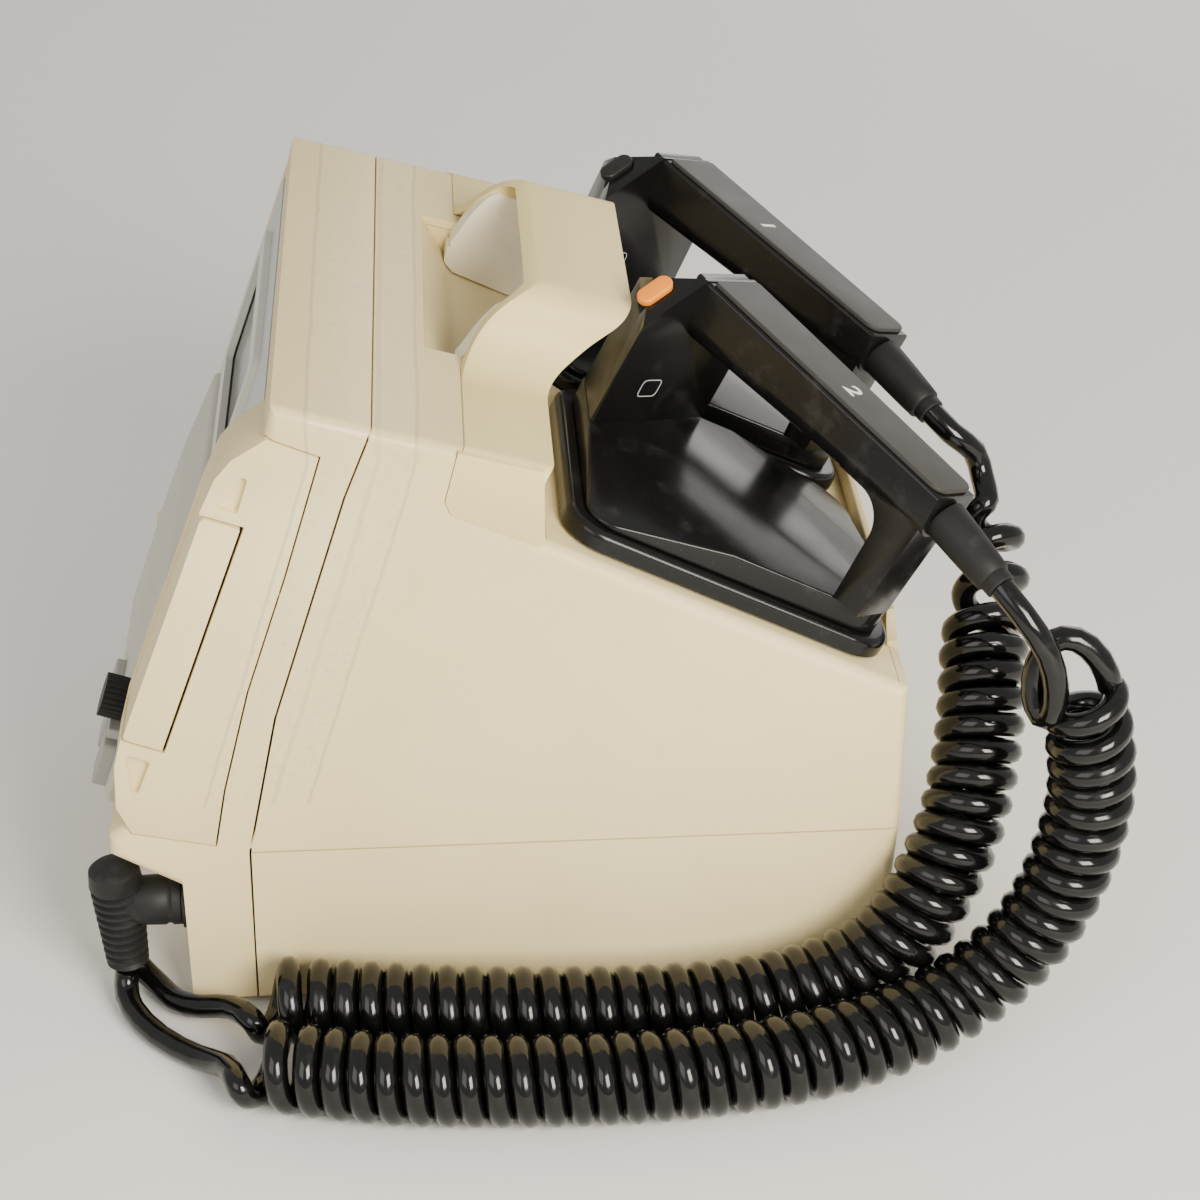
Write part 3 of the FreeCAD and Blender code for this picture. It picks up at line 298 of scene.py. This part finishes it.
edgeRounding = {"carry_handle": 1.6, "handle_liner": 1.0, "control_panel": 0.9, "front_case": 0.5,
                "recorder_module": 0.7, "recorder_door": 0.7, "tray_rim": 0.4}
paddleRounding = {"frame": 1.7, "base": 1.0, "grip_plate": 0.5, "shock_button": 0.9}
for node, width in edgeRounding.items():
    softened(node, width)
for side in ("apex", "sternum"):
    for part, width in paddleRounding.items():
        softened(side + "_" + part, width)
print("softened mouldings")


# turned pieces
def lathe(name, profile, start, axis, body, slotName, replaced=(), sides=56):
    # closed solid of revolution: profile rows are (distance along the axis, radius) in mm
    axis = Vector(axis).normalized()
    first = axis.orthogonal().normalized()
    second = axis.cross(first)
    start = Vector(start)
    shape = bmesh.new()
    rings = []
    for along, radius in profile:
        ring = []
        for i in range(sides):
            angle = 2 * math.pi * i / sides
            spoke = first * math.cos(angle) + second * math.sin(angle)
            ring.append(shape.verts.new((start + axis * along + spoke * radius) * mm))
        rings.append(ring)
    for low, high in zip(rings, rings[1:]):
        for i in range(sides):
            j = (i + 1) % sides
            shape.faces.new((low[i], low[j], high[j], high[i]))
    shape.faces.new(rings[0][::-1])
    shape.faces.new(rings[-1])
    bmesh.ops.recalc_face_normals(shape, faces=shape.faces)
    mesh = bpy.data.meshes.new(name)
    shape.to_mesh(mesh)
    shape.free()
    return place(name, mesh, body, slotName, replaced)


# mm; the boot hangs from the plug and narrows rib by rib, with rows of distance and radius
plugSpec = {"across": 122.0, "socket": -130.6, "high": 47.0, "bootFront": -157.4, "bootTop": 65.0,
            "lean": 0.04, "ribs": 9, "firstRib": 11.5, "ribPitch": 3.9, "ribRadius": 10.6, "narrowing": 0.22,
            "groove": 1.3}


def bootProfile(spec):
    rows = [(0, 3.0), (0.6, 8.4), (2.2, 10.2), (9, 10.9)]
    for rib in range(spec["ribs"]):
        at = spec["firstRib"] + rib * spec["ribPitch"]
        size = spec["ribRadius"] - rib * spec["narrowing"]
        low = size - spec["groove"]
        rows += [(at, low), (at + 0.7, size - 0.1), (at + 2.0, size), (at + 2.8, low)]
    return rows + [(47.4, 8.6), (48.8, 7.2)]


bootStart = (plugSpec["across"], plugSpec["bootFront"], plugSpec["bootTop"])
plugStart = (plugSpec["across"], plugSpec["socket"], plugSpec["high"])
plugProfile = [(0, 9.6), (0.5, 10.3), (4, 10.4), (5, 9.6), (6.2, 9.6), (7.2, 10.3), (17, 10.1), (19, 9.2),
               (24.5, 8.4)]
plugPieces = [lathe("plugBoot", bootProfile(plugSpec), bootStart, (0, plugSpec["lean"], -1), "root",
                    "black_rubber", ("lead_plug",)),
              lathe("plugBody", plugProfile, plugStart, (0, -1, 0), "root", "black_rubber")]
print("plug")


# joint seal and screws

jointSeal = {"half": 133.72, "top": 262.1, "low": 79.0, "round": 5.0, "deep": 2.2, "thick": 0.84,
             **jointLine}
sealSteps = 6   # in each rounded corner


def sealStrip(spec):
    # thin band that fills the joint between the front and rear case, level with their faces
    def sealOutline(inset):
        half, top, bend = spec["half"] - inset, spec["top"] - inset, spec["round"] - inset
        right = [(half, z) for z in (spec["low"], 120, 180, spec["upright"] - 2)]
        for step in range(sealSteps + 1):
            angle = math.pi / 2 * step / sealSteps
            right.append((half - bend + bend * math.cos(angle), top - bend + bend * math.sin(angle)))
        return right + [(-x, z) for x, z in reversed(right)]

    shape = bmesh.new()
    rows = []
    for inset, side in ((0, -0.5), (0, 0.5), (spec["deep"], 0.5), (spec["deep"], -0.5)):
        row = []
        for x, z in sealOutline(inset):
            y = spec["start"] + spec["lean"] * min(z, spec["upright"]) + side * spec["thick"]
            row.append(shape.verts.new((x * mm, y * mm, z * mm)))
        rows.append(row)
    for one, two in zip(rows, rows[1:] + rows[:1]):
        for i in range(len(one) - 1):
            shape.faces.new((one[i], one[i + 1], two[i + 1], two[i]))
    shape.faces.new([row[0] for row in rows])
    shape.faces.new([row[-1] for row in rows][::-1])
    bmesh.ops.recalc_face_normals(shape, faces=shape.faces)
    mesh = bpy.data.meshes.new("jointSeal")
    shape.to_mesh(mesh)
    shape.free()
    return place("jointSeal", mesh, "root", "cream_case")


sealStrip(jointSeal)

caseScrew = {"count": 3, "radius": 3.2, "high": 1.3, "slotWide": 0.9, "slotLong": 4.2, "slotDeep": 0.8}


def screwRow():
    # cross-head screws in a row along X, made by Geometry Nodes
    tree = bpy.data.node_groups.new("screwRow", "GeometryNodeTree")
    face = tree.interface
    face.new_socket("Geometry", in_out="OUTPUT", socket_type="NodeSocketGeometry")
    wanted = {"Radius": caseScrew["radius"], "High": caseScrew["high"], "Slot Wide": caseScrew["slotWide"],
              "Slot Long": caseScrew["slotLong"], "Slot Deep": caseScrew["slotDeep"]}
    sockets = {}
    for name in wanted:
        sockets[name] = face.new_socket(name, in_out="INPUT", socket_type="NodeSocketFloat")
    count = face.new_socket("Count", in_out="INPUT", socket_type="NodeSocketInt")
    pitch = face.new_socket("Pitch", in_out="INPUT", socket_type="NodeSocketVector")
    start = face.new_socket("Start", in_out="INPUT", socket_type="NodeSocketVector")

    def node(kind, settings=None, inputs=None):
        made = tree.nodes.new(kind)
        for key, value in (settings or {}).items():
            setattr(made, key, value)
        for key, value in (inputs or {}).items():
            if isinstance(value, bpy.types.NodeSocket):
                tree.links.new(value, made.inputs[key])
            else:
                made.inputs[key].default_value = value
        return made

    given = node("NodeGroupInput").outputs
    narrow = node("ShaderNodeMath", {"operation": "MULTIPLY"}, {0: given["Radius"], 1: 0.8}).outputs[0]
    head = node("GeometryNodeMeshCone", None, {"Vertices": 32, "Radius Top": narrow,
                                               "Radius Bottom": given["Radius"], "Depth": given["High"]})
    slots = []
    for first, second in (("Slot Long", "Slot Wide"), ("Slot Wide", "Slot Long")):
        extent = node("ShaderNodeCombineXYZ", None, {0: given[first], 1: given[second],
                                                     2: given["Slot Deep"]}).outputs[0]
        lift = node("ShaderNodeCombineXYZ", None, {2: given["High"]}).outputs[0]
        bar = node("GeometryNodeMeshCube", None, {"Size": extent}).outputs[0]
        slots.append(node("GeometryNodeTransform", None, {"Geometry": bar, "Translation": lift}).outputs[0])
    cut = node("GeometryNodeMeshBoolean", {"operation": "DIFFERENCE"}, {"Mesh 1": head.outputs[0]})
    for slotBar in slots:
        tree.links.new(slotBar, cut.inputs["Mesh 2"])
    row = node("GeometryNodeMeshLine", None, {"Count": given["Count"], "Start Location": given["Start"],
                                              "Offset": given["Pitch"]}).outputs[0]
    onRow = node("GeometryNodeInstanceOnPoints", None, {"Points": row, "Instance": cut.outputs[0],
                                                        "Rotation": (-math.pi / 2, 0.0, 0.0)})
    real = node("GeometryNodeRealizeInstances", None, {"Geometry": onRow.outputs[0]})
    coat = node("GeometryNodeSetMaterial", None, {"Geometry": real.outputs[0],
                                                  "Material": finishes["screw_steel"]})
    tree.links.new(coat.outputs[0], node("NodeGroupOutput").inputs[0])

    corners = [v.co for v in frame["nodes"]["case_screws"].data.vertices]
    low = [min(c[i] for c in corners) for i in range(3)]
    high = [max(c[i] for c in corners) for i in range(3)]
    radius = caseScrew["radius"] * mm
    apart = (high[0] - low[0] - 2 * radius) / (caseScrew["count"] - 1)
    scratch = bpy.data.objects.new("scratch", bpy.data.meshes.new("scratch"))
    bpy.context.collection.objects.link(scratch)
    change = scratch.modifiers.new("screws", "NODES")
    change.node_group = tree
    for name, value in wanted.items():
        change[sockets[name].identifier] = value * mm
    change[count.identifier] = caseScrew["count"]
    change[pitch.identifier] = (apart, 0.0, 0.0)
    change[start.identifier] = (low[0] + radius, low[1], (low[2] + high[2]) / 2)
    bpy.context.view_layer.update()
    mesh = evaluated(scratch)
    bpy.data.objects.remove(scratch)
    return place("caseScrews", mesh, "root", "screw_steel", ("case_screws",))


screwRow()
print("joint seal and screws")


# paddle details
# mm and degrees; the tray falls to the rear, and the paddles lie on it turned
traySpec = {"front": 16, "high": 213, "fall": 71, "run": 141, "turn": 42}
tilt = math.atan2(traySpec["fall"], traySpec["run"])


def seat(x, along, turn=0.0, rock=0.0, drop=0.0):
    # place of a paddle on the tray, with its X along the grip
    front, high = traySpec["front"], traySpec["high"]
    corner = Vector((x, front + along * math.cos(tilt), high - along * math.sin(tilt)))
    gripTurn = math.radians(traySpec["turn"])
    across = Vector((-math.sin(gripTurn), math.cos(gripTurn), 0))
    return (Matrix.Translation(corner) @ Matrix.Rotation(-tilt, 4, "X")
            @ Matrix.Rotation(math.radians(turn), 4, "Z") @ Matrix.Translation((0, 0, drop))
            @ Matrix.Rotation(math.radians(rock), 4, across) @ Matrix.Rotation(gripTurn, 4, "Z"))


seats = {"apex": seat(66, 77), "sternum": seat(-65.5, 75.5, -1.5, -2.86, -3.0)}
printWhite = simple("printWhite", (0.90, 0.88, 0.82), 0.5)


def inked(name, mesh, side, matrix):
    # thin printed piece, made in paddle millimetres
    mesh.transform(Matrix.Scale(mm, 4) @ seats[side] @ matrix)
    return place(name, mesh, side + "_paddle", "light_trim", material=printWhite)


# mm, on the grip plate
printSpec = {"size": 13.0, "thick": 0.06, "bolder": 0.22, "apart": 1.02, "plateHigh": 86.16,
             "plateFall": 6.6, "plateLong": 137}


def numeral(side, text, middle, flip):
    # plain upright number that tells the paddles apart
    data = bpy.data.curves.new(side + "Number", "FONT")
    data.body, data.size = text, printSpec["size"]
    data.align_x, data.align_y = "CENTER", "CENTER"
    data.extrude, data.offset = printSpec["thick"], printSpec["bolder"]
    data.space_character = printSpec["apart"]
    scratch = bpy.data.objects.new("scratch", data)
    bpy.context.collection.objects.link(scratch)
    bpy.context.view_layer.update()
    mesh = evaluated(scratch)
    bpy.data.objects.remove(scratch)
    lean = math.atan2(printSpec["plateFall"], printSpec["plateLong"])
    onPlate = (Matrix.Translation((0, 0, printSpec["plateHigh"])) @ Matrix.Rotation(lean, 4, "Y")
               @ Matrix.Translation((middle, 0, 0)) @ Matrix.Rotation(flip, 4, "Z"))
    inked(side + "Number", mesh, side, onPlate)


numeral("apex", "2", 23.5, 0.0)
numeral("sternum", "1", 6.0, math.pi)


def outline(side, wide, high, line, corner, matrix):
    # printed frame of a blank label
    shape = bmesh.new()
    rows = []
    for inset, depth in ((0, 0), (0, 0.1), (line, 0.1), (line, 0)):
        row = []
        for cx, cy, first in ((1, 1, 0), (-1, 1, 1), (-1, -1, 2), (1, -1, 3)):
            for step in range(5):
                angle = (first + step / 4) * math.pi / 2
                reach = corner - inset
                row.append(shape.verts.new((cx * (wide / 2 - corner) + math.cos(angle) * reach,
                                            cy * (high / 2 - corner) + math.sin(angle) * reach, depth)))
        rows.append(row)
    for one, two in zip(rows, rows[1:] + rows[:1]):
        for i in range(len(one)):
            j = (i + 1) % len(one)
            shape.faces.new((one[i], one[j], two[j], two[i]))
    bmesh.ops.recalc_face_normals(shape, faces=shape.faces)
    mesh = bpy.data.meshes.new(side + "Label")
    shape.to_mesh(mesh)
    shape.free()
    inked(side + "Label", mesh, side, matrix)


# mm; the blank label is on the front face of the shield, the relief runs out along the grip
blankLabel = {"wide": 12.0, "high": 8.0, "line": 0.2, "corner": 2.2, "place": (-46.98, -16.0, 36.0)}
reliefSpec = {"start": (84.1, 0, 70.0), "aim": (119, 0, 64.0)}
reliefProfile = [(0, 5.0), (0.1, 8.3), (1.6, 8.5), (12, 8.1), (24, 7.5), (29.6, 7.1), (30.3, 6.6),
                 (30.6, 5.9), (31.4, 6.0), (34.6, 5.9), (35.2, 5.2)]
faceX, faceY, faceZ = blankLabel["place"]
faceAlong = Matrix(((0, 0, 1, faceX), (1, 0, 0, faceY), (0, 1, 0, faceZ), (0, 0, 0, 1)))
for side in seats:
    outline(side, blankLabel["wide"], blankLabel["high"], blankLabel["line"], blankLabel["corner"], faceAlong)
    root = seats[side]
    start = root @ Vector(reliefSpec["start"])
    ahead = (root @ Vector(reliefSpec["aim"]) - start).normalized()
    lathe(side + "Relief", reliefProfile, start, ahead, side + "_paddle", "black_rubber",
          (side + "_relief",))
print("paddle details")


# cords
def curve(name, points, steps):
    # NURBS of order 3 through control points, as an object and its evaluated centre line
    data = bpy.data.curves.new(name, "CURVE")
    data.dimensions = "3D"
    data.resolution_u = steps
    line = data.splines.new("NURBS")
    line.points.add(len(points) - 1)
    for target, point in zip(line.points, points):
        target.co = (*point, 1)
    line.order_u = 3
    line.use_endpoint_u = True
    made = bpy.data.objects.new(name, data)
    bpy.context.collection.objects.link(made)
    bpy.context.view_layer.update()
    mesh = bpy.data.meshes.new_from_object(made.evaluated_get(bpy.context.evaluated_depsgraph_get()))
    centre = [v.co.copy() for v in mesh.vertices]
    bpy.data.meshes.remove(mesh)
    return made, centre


def spaced(line, step):
    # frames along a line, evenly spaced: (distance, point, tangent, normal, binormal)
    run = [0.0]
    for a, b in zip(line, line[1:]):
        run.append(run[-1] + (b - a).length)
    count = max(2, round(run[-1] / step))
    out, at, normal = [], 0, None
    for i in range(count + 1):
        want = run[-1] * i / count
        while at < len(run) - 2 and run[at + 1] < want:
            at += 1
        share = (want - run[at]) / max(run[at + 1] - run[at], 1e-9)
        point = line[at].lerp(line[at + 1], share)
        tangent = (line[at + 1] - line[at]).normalized()
        if normal is None:
            normal = tangent.cross(Vector((0, 0, 1))).normalized()
        normal = (normal - tangent * normal.dot(tangent)).normalized()
        out.append((want, point, tangent, normal.copy(), tangent.cross(normal)))
    return out


def helix(axisPoints, cordSize, outside, pitchAt, startAngle, pointsPerTurn=14, sizeAt=None):
    # control points of the turns wound round an axis, with the pitch and size given along it
    axisObject, axis = curve("axisScratch", axisPoints, 12)
    bpy.data.objects.remove(axisObject)
    frames = spaced(axis, 0.0005)
    length = frames[-1][0]
    out, angle = [], startAngle
    turn = 2 * math.pi / pointsPerTurn
    gone = 0.0
    while gone < length:
        _, point, _, normal, across = frames[min(int(gone / length * (len(frames) - 1)), len(frames) - 1)]
        reach = (outside - cordSize / 2) * (sizeAt(gone / length) if sizeAt else 1.0)
        out.append(point + normal * math.cos(angle) * reach + across * math.sin(angle) * reach)
        angle += turn
        gone += pitchAt(gone / length) / pointsPerTurn
    return out


cordSize, coilRadius = 0.010, 0.0185
leads = {
    "apex": {
        "lead": [(127.2, -155.5, 16), (128, -157, 9), (140, -154, 5.6), (158, -142, 5.6),
                 (173, -124, 6), (184, -112, 12), (191, -103, 18.6)],
        "coil": [(191, -103, 18.6), (203, -62, 18.6), (208, -14, 18.6), (210, 36, 18.6),
                 (207, 86, 18.6), (196, 134, 18.6), (180, 176, 26), (170, 208, 52),
                 (163, 223, 90), (160, 226, 124), (159, 218, 155)],
        "tail": [(160, 229, 157), (158, 224, 170), (156, 214, 178.5), (155, 205, 177), (156, 200, 167),
                 (158, 199, 155), (162, 202, 146), (166, 206, 150), (167, 206, 163), (166, 202, 178),
                 (163.5, 191.2, 194.0), (154.4, 184.7, 199.7)],
        "sizeAt": lambda t: 1.0 if t < 0.62 else 0.94,
        "pitchAt": lambda t: 0.016 if t < 0.04 else 0.0102 if t < 0.95 else 0.013,
    },
    "sternum": {
        "lead": [(116.8, -155.5, 16), (117, -152, 9), (125, -144, 5.8), (138, -136, 6.5),
                 (146, -124, 10), (150, -112, 14), (153, -100, 18.6)],
        "coil": [(153, -100, 18.6), (160, -58, 18.6), (166, -12, 18.6), (169, 38, 18.6), (168, 86, 18.6),
                 (162, 126, 22), (157, 157, 40), (141, 180, 78), (118, 190, 110), (90, 194, 140),
                 (64, 203, 153), (38, 205, 168)],
        "tail": [(30, 202, 178), (26, 199, 190), (32.8, 188.1, 199.0), (22.4, 180.6, 205.0)],
        "sizeAt": lambda t: 1.0 if t < 0.86 else 1.0 - (t - 0.86) * 3.4,
        "pitchAt": lambda t: 0.016 if t < 0.04 else 0.0102 if t < 0.87 else 0.019,
    },
}


def points(rows):
    return [Vector(row) * mm for row in rows]


def curlyLead(side, route):
    turns = helix(points(route["coil"]), cordSize, coilRadius, route["pitchAt"], 0.0,
                  sizeAt=route["sizeAt"])
    whole = points(route["lead"])[:-1] + turns + points(route["tail"])
    made, centre = curve(side + "Cord", whole, 2)
    made.data.bevel_depth = cordSize / 2
    made.data.bevel_resolution = 3
    made.data.use_fill_caps = True
    mesh = bpy.data.meshes.new_from_object(made.evaluated_get(bpy.context.evaluated_depsgraph_get()))
    bpy.data.objects.remove(made)
    cord = bpy.data.objects.new(side + "Cord", mesh)
    bpy.context.collection.objects.link(cord)
    mesh.materials.clear()
    mesh.materials.append(finishes["cord_black"])
    for face in mesh.polygons:
        face.use_smooth = True
    side + "_paddle"
    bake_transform(cord)
    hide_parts(side + "_lead", side + "_coil", side + "_tail")
    return cord


for side, route in leads.items():
    curlyLead(side, route)
print("cords")

# stage; the camera's place and aim are in m, its lens in mm
cameraSpec = {"place": (1.0196, -0.0196, 0.7204), "aim": (-0.8558, 0.0544, -0.5145),
              "lens": 82.5, "sensor": 36}
camera = bpy.data.objects.new("camera", bpy.data.cameras.new("camera"))
camera.location = cameraSpec["place"]
camera.rotation_euler = Vector(cameraSpec["aim"]).to_track_quat("-Z", "Y").to_euler()
camera.data.lens = cameraSpec["lens"]
camera.data.sensor_width = cameraSpec["sensor"]
bpy.context.collection.objects.link(camera)
bpy.context.scene.camera = camera

floorMesh = bpy.data.meshes.new("floor")
floorHalf, floorDrop = 6, -0.0002
floorCorners = [(x * floorHalf, y * floorHalf, floorDrop) for x, y in ((-1, -1), (1, -1), (1, 1), (-1, 1))]
floorMesh.from_pydata(floorCorners, [], [(0, 1, 2, 3)])
floor = bpy.data.objects.new("floor", floorMesh)
bpy.context.collection.objects.link(floor)
floorMesh.materials.append(simple("floorPaint", (0.84, 0.83, 0.80), 0.7, scale=0.6))

room = {"colour": (0.99, 0.985, 0.955), "strength": 0.66}
world = bpy.data.worlds.new("softRoom")
bpy.context.scene.world = world
world.use_nodes = True
world.node_tree.nodes["Background"].inputs[0].default_value = (*room["colour"], 1)
world.node_tree.nodes["Background"].inputs[1].default_value = room["strength"]


def softLight(name, place, target, size, power, colour):
    lamp = bpy.data.lights.new(name, "AREA")
    lamp.size, lamp.energy, lamp.color = size, power, colour
    made = bpy.data.objects.new(name, lamp)
    made.location = place
    made.rotation_euler = (Vector(target) - Vector(place)).to_track_quat("-Z", "Y").to_euler()
    bpy.context.collection.objects.link(made)


# place, aim, size in m, power in W, colour
lights = {
    "keyLight": ((1.5, 0.75, 1.0), (0, 0, 0.1), 0.8, 56, (1.0, 0.94, 0.83)),
    "fillLight": ((1.4, -1.0, 1.2), (0, 0, 0.1), 1.2, 12, (1.0, 0.97, 0.93)),
    "windowLight": ((-1.7, 0.9, 0.75), (0, 0.05, 0.15), 1.1, 8, (1.0, 0.98, 0.95)),
}
for name, values in lights.items():
    softLight(name, *values)
print("stage")
